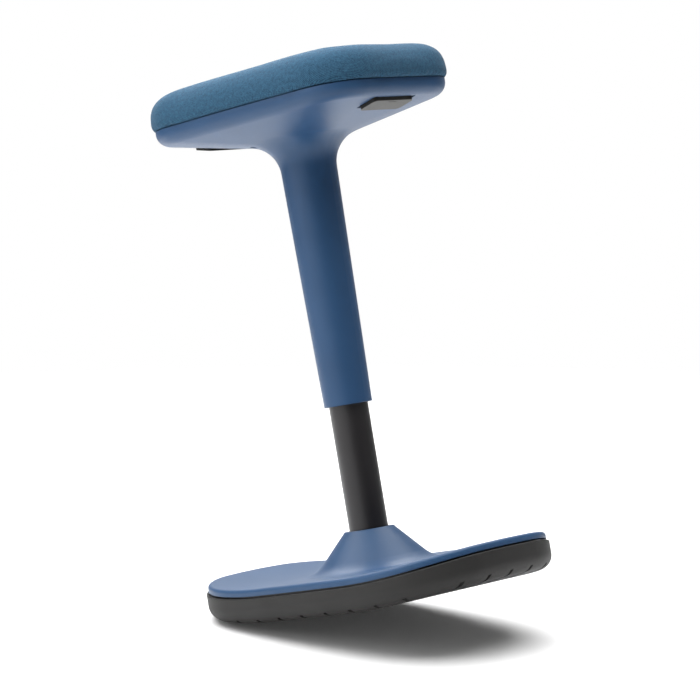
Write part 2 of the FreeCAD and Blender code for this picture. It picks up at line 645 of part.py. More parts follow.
# Column: the standpipe with its bearing disc and guide, fixed in the foot
standpipe = ring("standpipe", PIPE_BORE, "pipe_radius", PIPE_LOW, PIPE_TOP)
bearing_disc = ring("bearing_disc", "rod_radius + run_gap", PIPE_BORE, DISC_LOW, DISC_TOP)
guide_bush = turned("guide_bush", [
    ("tube_radius + run_gap", f"{PIPE_TOP} - bush_length"), (PIPE_BORE, f"{PIPE_TOP} - bush_length"),
    (PIPE_BORE, PIPE_TOP), ("pipe_radius", PIPE_TOP), ("pipe_radius", f"{PIPE_TOP} + bush_flange"),
    ("tube_radius + run_gap", f"{PIPE_TOP} + bush_flange")])
thrust_washer_lower = ring("thrust_washer_lower", "rod_radius + free_gap", "washer_radius", DISC_TOP, BALL_LOW)
balls = []
for i in range(int(number("ball_count"))):
    ball = doc.addObject("Part::Sphere", f"ball_{i}")
    bind(ball, Radius="ball_radius - run_gap")
    across, along = polar("ball_circle", f"360 * {i} / ball_count")
    ball.setExpression("Placement.Base.x", formula(across))
    ball.setExpression("Placement.Base.y", formula(along))
    ball.setExpression("Placement.Base.z", formula(f"{BALL_LOW} + ball_radius"))
    balls.append(ball)
thrust_balls = fuse("thrust_balls", *balls)

# Spindle: the piston rod that turns on the thrust bearing and carries the piston
thrust_washer_upper = ring("thrust_washer_upper", "rod_radius", "washer_radius",
                           f"{BALL_LOW} + 2 * ball_radius", COLLAR_LOW)
CLIP_LOW = f"({CLIP_TOP} - clip_thickness)"
GROOVE = "(rod_radius - clip_groove)"
piston_rod = turned("piston_rod", [
    ("0", ROD_LOW), ("rod_radius", ROD_LOW), ("rod_radius", CLIP_LOW), (GROOVE, CLIP_LOW), (GROOVE, CLIP_TOP),
    ("rod_radius", CLIP_TOP), ("rod_radius", COLLAR_LOW), ("rod_collar_radius", COLLAR_LOW),
    ("rod_collar_radius", COLLAR_TOP), ("rod_radius", COLLAR_TOP), ("rod_radius", ROD_TOP), ("0", ROD_TOP)])
clip_ring = ring("clip_ring", GROOVE, "clip_radius", CLIP_LOW, CLIP_TOP)
clip_mouth = box("clip_mouth", "clip_radius", f"{GROOVE} * 0.8", f"{CLIP_LOW} - 1", f"{CLIP_TOP} + 1",
                 ("clip_radius", "0"))
retaining_clip = cut("retaining_clip", clip_ring, clip_mouth)
bump_stop = ring("bump_stop", "rod_radius", "stop_radius", COLLAR_TOP, f"{COLLAR_TOP} + stop_height")
piston = ring("piston", "rod_radius", f"{TUBE_BORE} - run_gap", f"{ROD_TOP} - piston_height - 2", f"{ROD_TOP} - 2")

# Pressure tube, its seal, and the valve button with the cap that the levers press
BUTTON_BORE = "(button_radius + run_gap)"
pressure_tube = turned("pressure_tube", [
    (TUBE_BORE, "tube_bottom"), ("tube_radius", "tube_bottom"), ("tube_radius", TAPER_LOW),
    (TAPER_TOP_RADIUS, TUBE_TOP), (BUTTON_BORE, TUBE_TOP), (BUTTON_BORE, f"{TUBE_TOP} - tube_cap + 3"),
    ("0", f"{TUBE_TOP} - tube_cap + 3"), ("0", f"{TUBE_TOP} - tube_cap"), (TUBE_BORE, f"{TUBE_TOP} - tube_cap")])
tube_seal = ring("tube_seal", "rod_radius + run_gap", TUBE_BORE, "tube_bottom", "tube_bottom + seal_length")
valve_button = disc("valve_button", "button_radius", f"{TUBE_TOP} - tube_cap + 3 + button_proud", CAP_LOW)
button_cap = disc("button_cap", "cap_radius", CAP_LOW, f"{CAP_LOW} + cap_thickness")

# Steel bracket under the seat board, with the hub for the tube and ears for the levers
plate = bowed_prism("bracket_plate", ("bracket_half_x", "bracket_half_y", "1", "1"), "bracket_corner",
                    BRACKET_LOW, BRACKET_TOP)
hub = turned("bracket_hub", [
    ("tube_radius", TAPER_LOW), (HUB_RADIUS, TAPER_LOW), (HUB_RADIUS, f"{BRACKET_LOW} + 1"),
    ("cap_radius + 2 * free_gap", f"{BRACKET_LOW} + 1"), ("cap_radius + 2 * free_gap", TUBE_TOP),
    (TAPER_TOP_RADIUS, TUBE_TOP)])
lever_slot = box("lever_slot", f"{HUB_RADIUS} + 5", "lever_width / 2 + 3 * free_gap", f"{CAP_LOW} - 2", BRACKET_LOW)
bracket_parts = [plate, cut("slotted_hub", hub, lever_slot)]
EAR_MIDDLE = "(lever_width / 2 + free_gap + ear_thickness / 2)"
for side in (-1, 1):
    bracket_parts.append(box(f"bracket_lip_{side + 1}", "bracket_half_x - bracket_corner", "1.5",
                             f"{BRACKET_LOW} - bracket_lip", f"{BRACKET_LOW} + 1",
                             ("0", f"{side} * (bracket_half_y - 3)")))
    for front in (-1, 1):
        bracket_parts.append(box(f"ear_{side + 1}_{front + 1}", "ear_half", "ear_thickness / 2",
                                 f"{PIVOT_HEIGHT} - ear_half", f"{BRACKET_LOW} + 1",
                                 (f"{side} * pivot_reach", f"{front} * {EAR_MIDDLE}")))
PIN_LENGTH = "(lever_width + 2 * free_gap + 2 * ear_thickness + 4)"
pins = {}
for side, name in ((-1, "left"), (1, "right")):
    pin = post(f"pivot_pin_{name}", "pivot_radius", PIVOT_HEIGHT, f"{PIVOT_HEIGHT} + {PIN_LENGTH}",
               (f"{side} * pivot_reach", f"0 - {PIN_LENGTH} / 2"))
    pin.Placement.Rotation = FreeCAD.Rotation(V(1, 0, 0), -90)
    pins[name] = pin
BOARD_SCREWS = [(f"{i} * board_screw_x", f"{j} * board_screw_y") for i in (-1, 1) for j in (-1, 1)]
board_screws = fuse("board_screws", *[
    fastener(f"board_screw_{i}", place, "board_screw_radius", BRACKET_LOW, BOARD_TOP,
             "board_screw_head", "board_screw_head_height") for i, place in enumerate(BOARD_SCREWS)])
SCREW_SEAT = "(seam_height - screw_seat)"
BOSS_PLACES = [polar("boss_reach", f"(boss_angle + {turn})") for turn in (0, 180)]
shell_screws = fuse("shell_screws", *[
    fastener(f"shell_screw_{i}", place, "shell_screw_radius", SCREW_SEAT, f"{BRACKET_LOW} + 3",
             "shell_screw_head", "shell_screw_head / 2") for i, place in enumerate(BOSS_PLACES)])
bracket_blank = fuse("bracket_blank", *bracket_parts)
seat_bracket = cut("seat_bracket", bracket_blank, board_screws, shell_screws, *pins.values())

# Moulded seat shell: a shallow tray whose underside runs down into a long sleeve
SLEEVE_TOP_RADIUS = "(sleeve_radius + sleeve_slope * (seam_height - funnel_height - sleeve_bottom))"


def underside_height(x, y):
    """Height of the shell's underside near a side, where it rises evenly to the outline."""
    spans = [(x, "seat_half_x"), (y, "seat_half_y")]
    share = max((abs(number(place)) - number(SLEEVE_TOP_RADIUS)) / (number(half) - number(SLEEVE_TOP_RADIUS))
                for place, half in spans)
    return f"({FUNNEL_FLOOR} + (funnel_height - shell_side) * {max(share, 0):.4f})"


def funnel_form(label, wall):
    """A solid that opens evenly from a circle on the sleeve to the seat's outline, and beyond."""
    spread = (number("funnel_height") + 5) / number("funnel_height - shell_side")
    top = []
    radius = number(SLEEVE_TOP_RADIUS)
    for half, bow in (("seat_half_x", "seat_bow_x"), ("seat_half_y", "seat_bow_y")):
        top.append((radius + (number(half) - radius) * spread, number(bow) * spread))
    corner = radius + (number("seat_corner") - radius) * spread
    (half_x, bow_x), (half_y, bow_y) = top
    outline = [arc.toShape() for arc in bowed_arcs(half_x, half_y, bow_x, bow_y, corner)]
    circle = []
    for edge in outline:
        centre = edge.Curve.Center
        ends = (edge.FirstParameter, (edge.FirstParameter + edge.LastParameter) / 2, edge.LastParameter)
        points = [(edge.valueAt(end) - centre).normalize() * (radius - wall) for end in ends]
        circle.append(Part.Arc(*points).toShape())
    low = Part.Wire(circle)
    low.translate(V(0, 0, number(FUNNEL_FLOOR) + wall * 0.8))
    high = Part.Wire(outline)
    high.translate(V(0, 0, number("seam_height") + 5 + wall))
    form = doc.addObject("Part::Feature", label)
    form.Shape = Part.makeLoft([low, high], True, True)
    return form


def rounded(label, base, radius, test):
    """Rounds the edges of a solid that pass a test."""
    doc.recompute()
    item = doc.addObject("Part::Fillet", label)
    item.Base = base
    item.Edges = [(i, radius, radius) for i, edge in enumerate(base.Shape.Edges, 1) if test(edge)]
    return item


def shell_form(label, wall, low, high):
    """The seat shell's outer form, or the form inside its wall."""
    sizes = (f"(seat_half_x - ({wall}))", f"(seat_half_y - ({wall}))", "seat_bow_x", "seat_bow_y")
    prism = bowed_prism(label + "_outline", sizes, f"(seat_corner - ({wall}))", FUNNEL_FLOOR, high)
    tray = common(label + "_tray", prism, funnel_form(label + "_funnel", number(wall)))
    joint = f"({FUNNEL_FLOOR} + 0.8 * ({wall}))"
    low_radius = f"(sleeve_radius - ({wall}) + sleeve_slope * ({low} - sleeve_bottom))"
    sleeve = turned(label + "_sleeve", [
        ("0", low), (low_radius, low), (f"({SLEEVE_TOP_RADIUS} - ({wall}))", joint), ("0", joint)])
    form = fuse(label + "_form", tray, sleeve)
    flared = rounded(label + "_flare", form, number(f"funnel_fillet + ({wall})"),
                     circles_at(f"{SLEEVE_TOP_RADIUS} - ({wall})", joint))
    side_low = number(f"{SIDE_LOW} + ({wall})")
    return rounded(label, flared, number(f"shell_round - ({wall})"),
                   lambda edge: all(abs(edge.valueAt(end).z - side_low) < 1.5 for end in edge.ParameterRange))


shell_body = shell_form("shell_body", "0", "sleeve_bottom", "seam_height")
shell_blank = rounded("shell_blank", shell_body, number("sleeve_edge"), circles_at("sleeve_radius", "sleeve_bottom"))
shell_inside = shell_form("shell_inside", "shell_wall", "(sleeve_bottom - 1)", "(seam_height + 1)")
stiffening = []
for angle in (38, 65, 90, 115, 142, 218, 245, 270, 295, 322):
    stiffening.append(turned_box(f"shell_rib_{angle}", "rib_start", "seat_half_x", "shell_rib",
                                 f"{FUNNEL_FLOOR} - funnel_fillet / 2", "seam_height - 2 * rib_drop", angle))
recesses = []
for i, place in enumerate(BOSS_PLACES):
    stiffening.append(post(f"shell_boss_{i}", "boss_radius", f"{FUNNEL_FLOOR} - 5", BRACKET_LOW, place))
    recesses.append(post(f"shell_recess_{i}", "shell_screw_head + free_gap", f"{FUNNEL_FLOOR} - 20", SCREW_SEAT, place))
windows = []
for side in (-1, 1):
    windows.append(box(f"paddle_window_{side + 1}", "paddle_width / 2 + window_gap", "paddle_length / 2 + window_gap",
                       f"{FUNNEL_FLOOR} - 30", "seam_height - 10", (f"{side} * paddle_reach", "0")))
shell_hollow = cut("shell_hollow", shell_inside, fuse("shell_stiffening", *stiffening))
seat_shell = cut("seat_shell", shell_blank, shell_hollow, shell_screws, *recesses, *windows)
glide_ring = ring("glide_ring", "pipe_radius + glide_gap", "sleeve_radius - shell_wall",
                  "sleeve_bottom + 1", "sleeve_bottom + 1 + glide_length")

# Seat board, its pressed-in nuts, and the cushion
board_blank = bowed_prism("board_blank", (
    "(seat_half_x + cushion_overhang - board_inset)", "(seat_half_y + cushion_overhang - board_inset)",
    "seat_bow_x", "seat_bow_y"), "(seat_corner + cushion_overhang - board_inset)", BRACKET_TOP, BOARD_TOP)
nut_parts = []
for i, place in enumerate(BOARD_SCREWS):
    nut_parts.append(post(f"board_nut_barrel_{i}", "nut_radius", f"{BOARD_TOP} - nut_height", BOARD_TOP, place))
    nut_parts.append(post(f"board_nut_flange_{i}", "nut_flange", f"{BOARD_TOP} - nut_plate", BOARD_TOP, place))
nut_blanks = fuse("board_nut_blanks", *nut_parts)
board_nuts = cut("board_nuts", nut_blanks, board_screws)
seat_board = cut("seat_board", board_blank, nut_blanks, board_screws)


def cushion_wires(inset, start):
    """Level outlines of the cushion's crowned form, drawn in by an inset, from a height upwards."""
    side, rounding, rise = (number(name) for name in ("cushion_side", "cushion_round", "crown_rise"))
    tuck = number("cushion_tuck")
    seam = number("seam_height")
    sections = [(tuck, 1, 0), (tuck / 8, 1, tuck * 1.6), (0, 1, side)]
    for angle in (20, 40, 60, 80):
        turn = math.radians(angle)
        sections.append((rounding * (1 - math.cos(turn)), 1, side + rounding * math.sin(turn)))
    for share in (0.92, 0.75, 0.5, 0.22):
        sections.append((rounding, share, side + rounding + rise * (1 - share ** 2)))
    wires = []
    for draw_in, share, level in sections:
        edge = number("cushion_overhang") - inset - draw_in
        sizes = (number("seat_half_x") + edge, number("seat_half_y") + edge,
                 number("seat_bow_x"), number("seat_bow_y"), number("seat_corner") + edge)
        height = seam + inset + level * (1 - 2 * inset / (side + rounding + rise))
        if height > start + 1:
            wires.append(bowed_wire([size * share for size in sizes], height))
        else:
            wires[:] = [bowed_wire(sizes, max(start, height))]
    return wires


def skin(wires):
    """The open skin from each level outline to the next."""
    return Part.makeLoft(wires, False, True).Faces


# The foam pad fills the cover above the board
pad_wires = cushion_wires(number("cover_thickness") + 0.2, number(BOARD_TOP))
foam_pad = doc.addObject("Part::Feature", "foam_pad")
foam_pad.Shape = Part.makeLoft(pad_wires, True, True)

# The fabric cover is one skin over the pad, folded in under the board as a hem
outer = cushion_wires(0, number("seam_height"))
inner = cushion_wires(number("cover_thickness"), number(BRACKET_TOP))
hem_sizes = [number(f"{name} + cushion_overhang - hem_width") for name in ("seat_half_x", "seat_half_y")]
hem_sizes += [number("seat_bow_x"), number("seat_bow_y"), number("seat_corner + cushion_overhang - hem_width")]
hem = [bowed_wire(hem_sizes, number(level)) for level in ("seam_height", BRACKET_TOP)]
faces = skin(outer) + skin(inner) + skin(hem)
faces += [Part.Face(outer[-1]), Part.Face(inner[-1]), Part.Face([outer[0], hem[0]]), Part.Face([inner[0], hem[1]])]
cover = Part.Solid(Part.Shell(faces))
cover.fix(0.001, 0.001, 0.001)
cushion_cover = doc.addObject("Part::Feature", "cushion_cover")
cushion_cover.Shape = cover

# Release levers: steel arms on pins, with moulded paddles in the shell's windows
levers = []
for side, name in ((-1, "left"), (1, "right")):
    arm = side_profile(f"lever_blank_{name}", [
        (f"{side} * lever_tip", LEVER_LOW), (f"{side} * (paddle_reach + 10)", LEVER_LOW),
        (f"{side} * (paddle_reach + 10)", LEVER_TOP), (f"{side} * lever_tip", LEVER_TOP)], "lever_width")
    bore = post(f"lever_bore_{name}", "pivot_radius + run_gap", PIVOT_HEIGHT, f"{PIVOT_HEIGHT} + {PIN_LENGTH}",
                (f"{side} * pivot_reach", f"0 - {PIN_LENGTH} / 2"))
    bore.Placement.Rotation = FreeCAD.Rotation(V(1, 0, 0), -90)
    eye = post(f"lever_eye_{name}", "pivot_radius + eye_wall", PIVOT_HEIGHT, f"{PIVOT_HEIGHT} + lever_width",
               (f"{side} * pivot_reach", "0 - lever_width / 2"))
    eye.Placement.Rotation = FreeCAD.Rotation(V(1, 0, 0), -90)
    levers.append(cut(f"lever_{name}", fuse(f"lever_body_{name}", arm, eye), bore))
    inner = "(paddle_reach - paddle_width / 2)"
    outer = "(paddle_reach + paddle_width / 2)"
    inner_low = f"({underside_height(inner, '0')} - paddle_proud)"
    outer_low = f"({underside_height(outer, '0')} - paddle_proud)"
    pad = side_profile(f"paddle_pad_{name}", [
        (f"{side} * {inner}", inner_low), (f"{side} * {outer}", outer_low),
        (f"{side} * {outer}", f"{outer_low} + paddle_thickness"),
        (f"{side} * {inner}", f"{inner_low} + paddle_thickness")], "paddle_length")
    thickness = number("paddle_thickness")
    round_edges(pad, f"paddle_corners_{name}", "paddle_round",
                lambda edge: abs(edge.Length - thickness) < 0.01 and abs(edge.tangentAt(edge.FirstParameter).z) > 0.9)
    stem = box(f"paddle_stem_{name}", "paddle_width / 3", "lever_width / 2",
               f"{inner_low} + paddle_thickness", LEVER_LOW, (f"{side} * paddle_reach", "0"))
    levers.append(fuse(f"paddle_{name}", pad, stem))
    place = (f"{side} * spring_reach", "0")
    levers.append(cut(f"lever_spring_{name}", post(f"spring_outside_{name}", "spring_radius", LEVER_TOP, BRACKET_LOW, place),
                      post(f"spring_inside_{name}", "spring_radius - spring_wire", LEVER_TOP, BRACKET_LOW, place)))

SUBPARTS = [
    rubber_sole, foot_plate, foot_shell, foot_screws, column_socket, socket_bolts, socket_nuts,
    standpipe, bearing_disc, guide_bush, thrust_washer_lower, thrust_balls,
    thrust_washer_upper, piston_rod, retaining_clip, bump_stop, piston,
    pressure_tube, tube_seal, valve_button, button_cap, seat_bracket, *pins.values(), board_screws, shell_screws,
    seat_shell, glide_ring, seat_board, board_nuts, foam_pad, cushion_cover, *levers,
]
doc.recompute()

for item in doc.Objects:
    if "Invalid" in item.State or "Error" in item.State:
        raise RuntimeError("failed: " + item.Name)
for item in SUBPARTS:
    if item.Shape.isNull() or not item.Shape.isValid():
        raise RuntimeError("bad shape: " + item.Label)

os.makedirs("parts", exist_ok=True)
for item in SUBPARTS:
    item.Shape.exportStep(f"parts/{item.Label}.step")
    print(item.Label, len(item.Shape.Solids), round(item.Shape.Volume))
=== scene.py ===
import math

import bmesh
import bpy
from mathutils import Matrix, Vector


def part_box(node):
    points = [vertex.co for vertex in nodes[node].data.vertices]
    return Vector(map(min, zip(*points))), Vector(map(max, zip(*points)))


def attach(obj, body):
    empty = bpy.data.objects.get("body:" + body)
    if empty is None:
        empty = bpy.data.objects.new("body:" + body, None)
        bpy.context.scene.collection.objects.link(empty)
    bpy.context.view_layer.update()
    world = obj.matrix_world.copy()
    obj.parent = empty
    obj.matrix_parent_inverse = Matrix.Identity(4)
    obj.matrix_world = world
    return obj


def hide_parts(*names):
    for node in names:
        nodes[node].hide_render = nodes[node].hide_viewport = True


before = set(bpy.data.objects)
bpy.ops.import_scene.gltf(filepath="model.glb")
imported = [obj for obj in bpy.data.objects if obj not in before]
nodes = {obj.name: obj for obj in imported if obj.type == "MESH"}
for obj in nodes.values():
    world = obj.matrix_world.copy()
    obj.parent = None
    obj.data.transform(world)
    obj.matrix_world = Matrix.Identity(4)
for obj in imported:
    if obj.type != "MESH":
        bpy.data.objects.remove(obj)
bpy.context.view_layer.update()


# Rubber sole
# A thick slab of black moulded rubber, bent to a rocker, with a rounded lower edge and tread slots.
# The mould leaves a fine spark-eroded grain on it, and handling leaves a faint grey bloom.

RUBBER_DARK = (0.013, 0.0125, 0.012)
RUBBER_LIGHT = (0.018, 0.0172, 0.0168)
DRIFTS_PER_METRE = 14.0


def add(tree, kind, inputs=None, **settings):
    """A shader node whose inputs are given as numbers, colours or the outputs of other nodes."""
    item = tree.nodes.new(kind)
    for key, value in settings.items():
        setattr(item, key, value)
    for key, value in (inputs or {}).items():
        if isinstance(value, bpy.types.NodeSocket):
            tree.links.new(value, item.inputs[key])
        else:
            item.inputs[key].default_value = value
    return item


def object_place(tree):
    """Where a point of the surface is, in metres."""
    return add(tree, "ShaderNodeTexCoord").outputs["Object"]


def noise(tree, place, scale, detail, roughness=0.5, distortion=0.0):
    """Cloudy noise between 0 and 1."""
    return add(tree, "ShaderNodeTexNoise", {
        "Vector": place, "Scale": scale, "Detail": detail, "Roughness": roughness,
        "Distortion": distortion}).outputs["Fac"]


def stretched(tree, place, scale):
    """A place scaled by a different number along each axis."""
    return add(tree, "ShaderNodeMapping", {"Vector": place, "Scale": scale}).outputs[0]


def worked_out(tree, operation, *values):
    """A sum, product or other result of numbers and outputs."""
    return add(tree, "ShaderNodeMath", dict(enumerate(values)), operation=operation).outputs[0]


def ranged(tree, value, low, high, new_low=0.0, new_high=1.0):
    """A value between low and high, carried over to a new range and held inside it."""
    return add(tree, "ShaderNodeMapRange", {
        0: value, 1: low, 2: high, 3: new_low, 4: new_high}).outputs[0]


def blended(tree, share, dark, light):
    """A colour between two tones."""
    return add(tree, "ShaderNodeMix", {0: share, 6: (*dark, 1), 7: (*light, 1)},
               data_type="RGBA").outputs[2]


def embossed(tree, height, depth):
    """A surface direction that follows a relief of a given depth."""
    return add(tree, "ShaderNodeBump", {"Height": height, "Distance": depth, "Strength": 1.0}).outputs[0]


def new_material(name):
    """A node material, its tree and its main shader."""
    material = bpy.data.materials.new(name)
    material.use_nodes = True
    tree = material.node_tree
    return material, tree, tree.nodes["Principled BSDF"]


def finish_with(tree, shader, **sockets):
    """Links outputs or sets values on the main shader, with words joined by underscores."""
    for name, value in sockets.items():
        socket = shader.inputs[name.replace("_", " ")]
        if isinstance(value, bpy.types.NodeSocket):
            tree.links.new(value, socket)
        else:
            socket.default_value = value


def moulded_grain():
    """Spark-eroded mould texture: fine pits, with broad drifts of tone over them."""
    group = bpy.data.node_groups.new("moulded_grain", "ShaderNodeTree")
    for direction, socket, kind in (
            ("INPUT", "Place", "NodeSocketVector"), ("INPUT", "Pits per metre", "NodeSocketFloat"),
            ("INPUT", "Drifts per metre", "NodeSocketFloat"), ("OUTPUT", "Height", "NodeSocketFloat"),
            ("OUTPUT", "Drift", "NodeSocketFloat")):
        group.interface.new_socket(socket, in_out=direction, socket_type=kind)
    given = group.nodes.new("NodeGroupInput").outputs
    result = group.nodes.new("NodeGroupOutput").inputs
    pits = noise(group, given["Place"], given["Pits per metre"], detail=3.0, roughness=0.6)
    cells = add(group, "ShaderNodeTexVoronoi", {"Vector": given["Place"], "Scale": given["Pits per metre"]},
                feature="SMOOTH_F1").outputs["Distance"]
    drift = noise(group, given["Place"], given["Drifts per metre"], detail=2.0)
    group.links.new(worked_out(group, "ADD", pits, cells), result["Height"])
    group.links.new(drift, result["Drift"])
    return group


GRAIN = moulded_grain()


def moulded(name, dark, light, roughness, pits, depth, shine):
    """A moulded surface that drifts between two tones, with mould grain as its relief."""
    material, tree, shader = new_material(name)
    grain = add(tree, "ShaderNodeGroup", {
        "Place": object_place(tree), "Pits per metre": pits, "Drifts per metre": DRIFTS_PER_METRE},
        node_tree=GRAIN).outputs
    tone = ranged(tree, grain["Drift"], 0.3, 0.7)
    finish_with(tree, shader,
                Base_Color=blended(tree, tone, dark, light),
                Roughness=ranged(tree, grain["Height"], 0.5, 1.3, *roughness),
                Normal=embossed(tree, grain["Height"], depth),
                Specular_IOR_Level=shine)
    return material


def dress(material, *names):
    """Gives CAD nodes a material."""
    for name in names:
        nodes[name].material_slots[0].material = material


dress(moulded("black_rubber", RUBBER_DARK, RUBBER_LIGHT, roughness=(0.50, 0.66), pits=1500, depth=0.00012,
              shine=0.34),
      "rubber_sole", "bump_stop", "tube_seal")


# Foot plate
# A pressed steel plate lies on the sole and carries everything above it. It is powder coated black,
# so the edge that shows between sole and shell is as dark as the rubber, with a faint orange peel.

COAT_DARK = (0.0105, 0.0090, 0.0102)
COAT_LIGHT = (0.0135, 0.0118, 0.0130)
POWDER_COAT = moulded("powder_coat", COAT_DARK, COAT_LIGHT, roughness=(0.34, 0.42), pits=900, depth=0.00005,
                      shine=0.5)
dress(POWDER_COAT, "foot_plate")


# Column cup, bracket and fasteners
# A welded cup, bolted through the foot plate, holds the standpipe, and a bracket carries the seat.
# They are zinc plated like the bearing, levers, pins and springs, so their grey drifts a little.
# The screws and bolts are plated darker and a little glossier.

CRYSTALS_PER_METRE = 420.0
ROLLING_PER_METRE = (60.0, 900.0, 900.0)
ROLLING_DEPTH = 0.00004


def plated(name, dark, light, roughness):
    """Zinc-plated steel: crystalline tone, faint rolling marks and uneven gloss."""
    material, tree, shader = new_material(name)
    place = object_place(tree)
    crystals = add(tree, "ShaderNodeTexVoronoi", {"Vector": place, "Scale": CRYSTALS_PER_METRE},
                   feature="F1").outputs["Color"]
    rolling = noise(tree, stretched(tree, place, ROLLING_PER_METRE), 1.0, detail=4.0)
    tone = worked_out(tree, "MULTIPLY", crystals, rolling)
    finish_with(tree, shader,
                Base_Color=blended(tree, tone, dark, light),
                Roughness=ranged(tree, tone, 0.0, 0.7, *roughness),
                Normal=embossed(tree, rolling, ROLLING_DEPTH),
                Metallic=1.0)
    return material


dress(plated("zinc_plate", dark=(0.42, 0.42, 0.41), light=(0.66, 0.66, 0.64), roughness=(0.3, 0.5)),
      "column_socket", "bearing_disc", "thrust_washer_lower", "thrust_washer_upper",
      "retaining_clip", "piston", "seat_bracket", "lever_left", "lever_right", "pivot_pin_left",
      "pivot_pin_right", "lever_spring_left", "lever_spring_right", "socket_nuts", "board_nuts",
      "thrust_balls")
dress(plated("screw_plate", dark=(0.30, 0.30, 0.31), light=(0.52, 0.52, 0.53), roughness=(0.25, 0.4)),
      "foot_screws", "socket_bolts", "board_screws", "shell_screws", "valve_button")


# Foot shell and seat shell
# Both are injection moulded in the same through-coloured blue plastic with a fine satin grain.
# The foot shell is screwed to the plate from below, and the seat shell to the bracket.

BLUE_DARK = (0.018, 0.058, 0.136)
BLUE_LIGHT = (0.022, 0.067, 0.154)
dress(moulded("blue_shell", BLUE_DARK, BLUE_LIGHT, roughness=(0.38, 0.48), pits=2600, depth=0.00006,
              shine=0.34),
      "foot_shell", "seat_shell")


# Black plastic fittings
# The guide bush, glide ring, valve cap and release paddles are moulded in black nylon, with the
# same fine grain. They press or clip into place.

NYLON_DARK = (0.017, 0.0168, 0.0152)
NYLON_LIGHT = (0.026, 0.0255, 0.0232)
dress(moulded("black_nylon", NYLON_DARK, NYLON_LIGHT, roughness=(0.40, 0.54), pits=2200, depth=0.00006,
              shine=0.24),
      "guide_bush", "glide_ring", "button_cap", "paddle_left", "paddle_right")


# Standpipe, pressure tube and piston rod
# The standpipe is drawn steel tube under the foot plate's satin black powder coat.
# The gas spring's tube is lacquered like it, and its rod is hard chromed and polished.

dress(POWDER_COAT, "standpipe", "pressure_tube")

CHROME_DARK = (0.78, 0.78, 0.8)
CHROME_LIGHT = (0.86, 0.86, 0.87)
chrome, tree, shader = new_material("rod_chrome")
smears = noise(tree, object_place(tree), 60.0, detail=4.0)
finish_with(tree, shader,
            Base_Color=blended(tree, smears, CHROME_DARK, CHROME_LIGHT),
            Roughness=ranged(tree, smears, 0.0, 1.0, 0.05, 0.16),
            Metallic=1.0)
dress(chrome, "piston_rod")


# Seat board
# A flat plywood board carries the foam, with its face veneer's grain running from side to side.
# The steel nuts for the bracket's screws are pressed into its top.

VENEER_DARK = (0.62, 0.44, 0.26)
VENEER_LIGHT = (0.76, 0.60, 0.40)
FIGURE_PER_METRE = (6.0, 90.0, 900.0)
plywood, tree, shader = new_material("birch_plywood")
figure = noise(tree, stretched(tree, object_place(tree), FIGURE_PER_METRE), 1.0, detail=6.0, distortion=0.4)
finish_with(tree, shader,
            Base_Color=blended(tree, figure, VENEER_DARK, VENEER_LIGHT),
            Roughness=0.7,
            Normal=embossed(tree, figure, 0.0002))
dress(plywood, "seat_board")


# Cushion
# Moulded foam on the seat board, wrapped in a finely woven wool-like cloth that is pulled tight
# and stapled under the board. It swells a little over the shell, with a tucked lower edge.

COVER_LOW, COVER_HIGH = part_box("cushion_cover")
SEAM = COVER_LOW.z
HALF_X = COVER_HIGH.x
HALF_Y = COVER_HIGH.y
CORNER = 0.0625
CORNER_STEPS = 16
SIDE_CUTS = 24
SHORTEST_SIDE = 0.03
SIDE_BOW = 0.003
FRONT_BOW = 0.007
SIDE_HEIGHT = 0.0195
TOP_ROUND = 0.027
ROUND_STEPS = 7
CROWN = 0.005
CROWN_FADE = 2.4


def pad_form(name, inset, low, lowered):
    """A closed pad with bowed sides, round corners and a rounded top edge, as a new object."""
    form = bmesh.new()
    corner = CORNER - inset
    x = HALF_X - inset
    y = HALF_Y - inset
    for across, along in ((1, 1), (-1, 1), (-1, -1), (1, -1)):
        form.verts.new((x * across, y * along, low))
    base = form.faces.new(form.verts)
    bmesh.ops.bevel(form, geom=base.verts[:], offset=corner, affect="VERTICES", segments=CORNER_STEPS,
                    profile=0.5, material=-1)
    sides = [edge for edge in form.edges if edge.calc_length() > SHORTEST_SIDE]
    bmesh.ops.subdivide_edges(form, edges=sides, cuts=SIDE_CUTS)
    for vert in form.verts:
        across, along = vert.co.x / x, vert.co.y / y
        vert.co.x -= math.copysign(SIDE_BOW * along ** 2, across)
        vert.co.y -= math.copysign(FRONT_BOW * across ** 2, along)
    rings = [(0, SIDE_HEIGHT / 2), (0, SIDE_HEIGHT)]
    for step in range(1, ROUND_STEPS + 1):
        turn = math.radians(90 * step / ROUND_STEPS)
        rings.append((TOP_ROUND * (1 - math.cos(turn)), SIDE_HEIGHT + TOP_ROUND * math.sin(turn)))
    top = form.faces[:]
    previous = 0
    for draw_in, level in rings:
        raised = bmesh.ops.extrude_face_region(form, geom=top)["geom"]
        moved = [item for item in raised if isinstance(item, bmesh.types.BMVert)]
        top = [item for item in raised if isinstance(item, bmesh.types.BMFace)]
        shrink = ((x - draw_in) / (x - previous), (y - draw_in) / (y - previous), 1)
        bmesh.ops.scale(form, vec=shrink, verts=moved)
        for vert in moved:
            vert.co.z = SEAM + level - lowered
        previous = draw_in
    bmesh.ops.recalc_face_normals(form, faces=form.faces)
    mesh = bpy.data.meshes.new(name)
    form.to_mesh(mesh)
    form.free()
    piece = bpy.data.objects.new(name, mesh)
    bpy.context.scene.collection.objects.link(piece)
    return piece


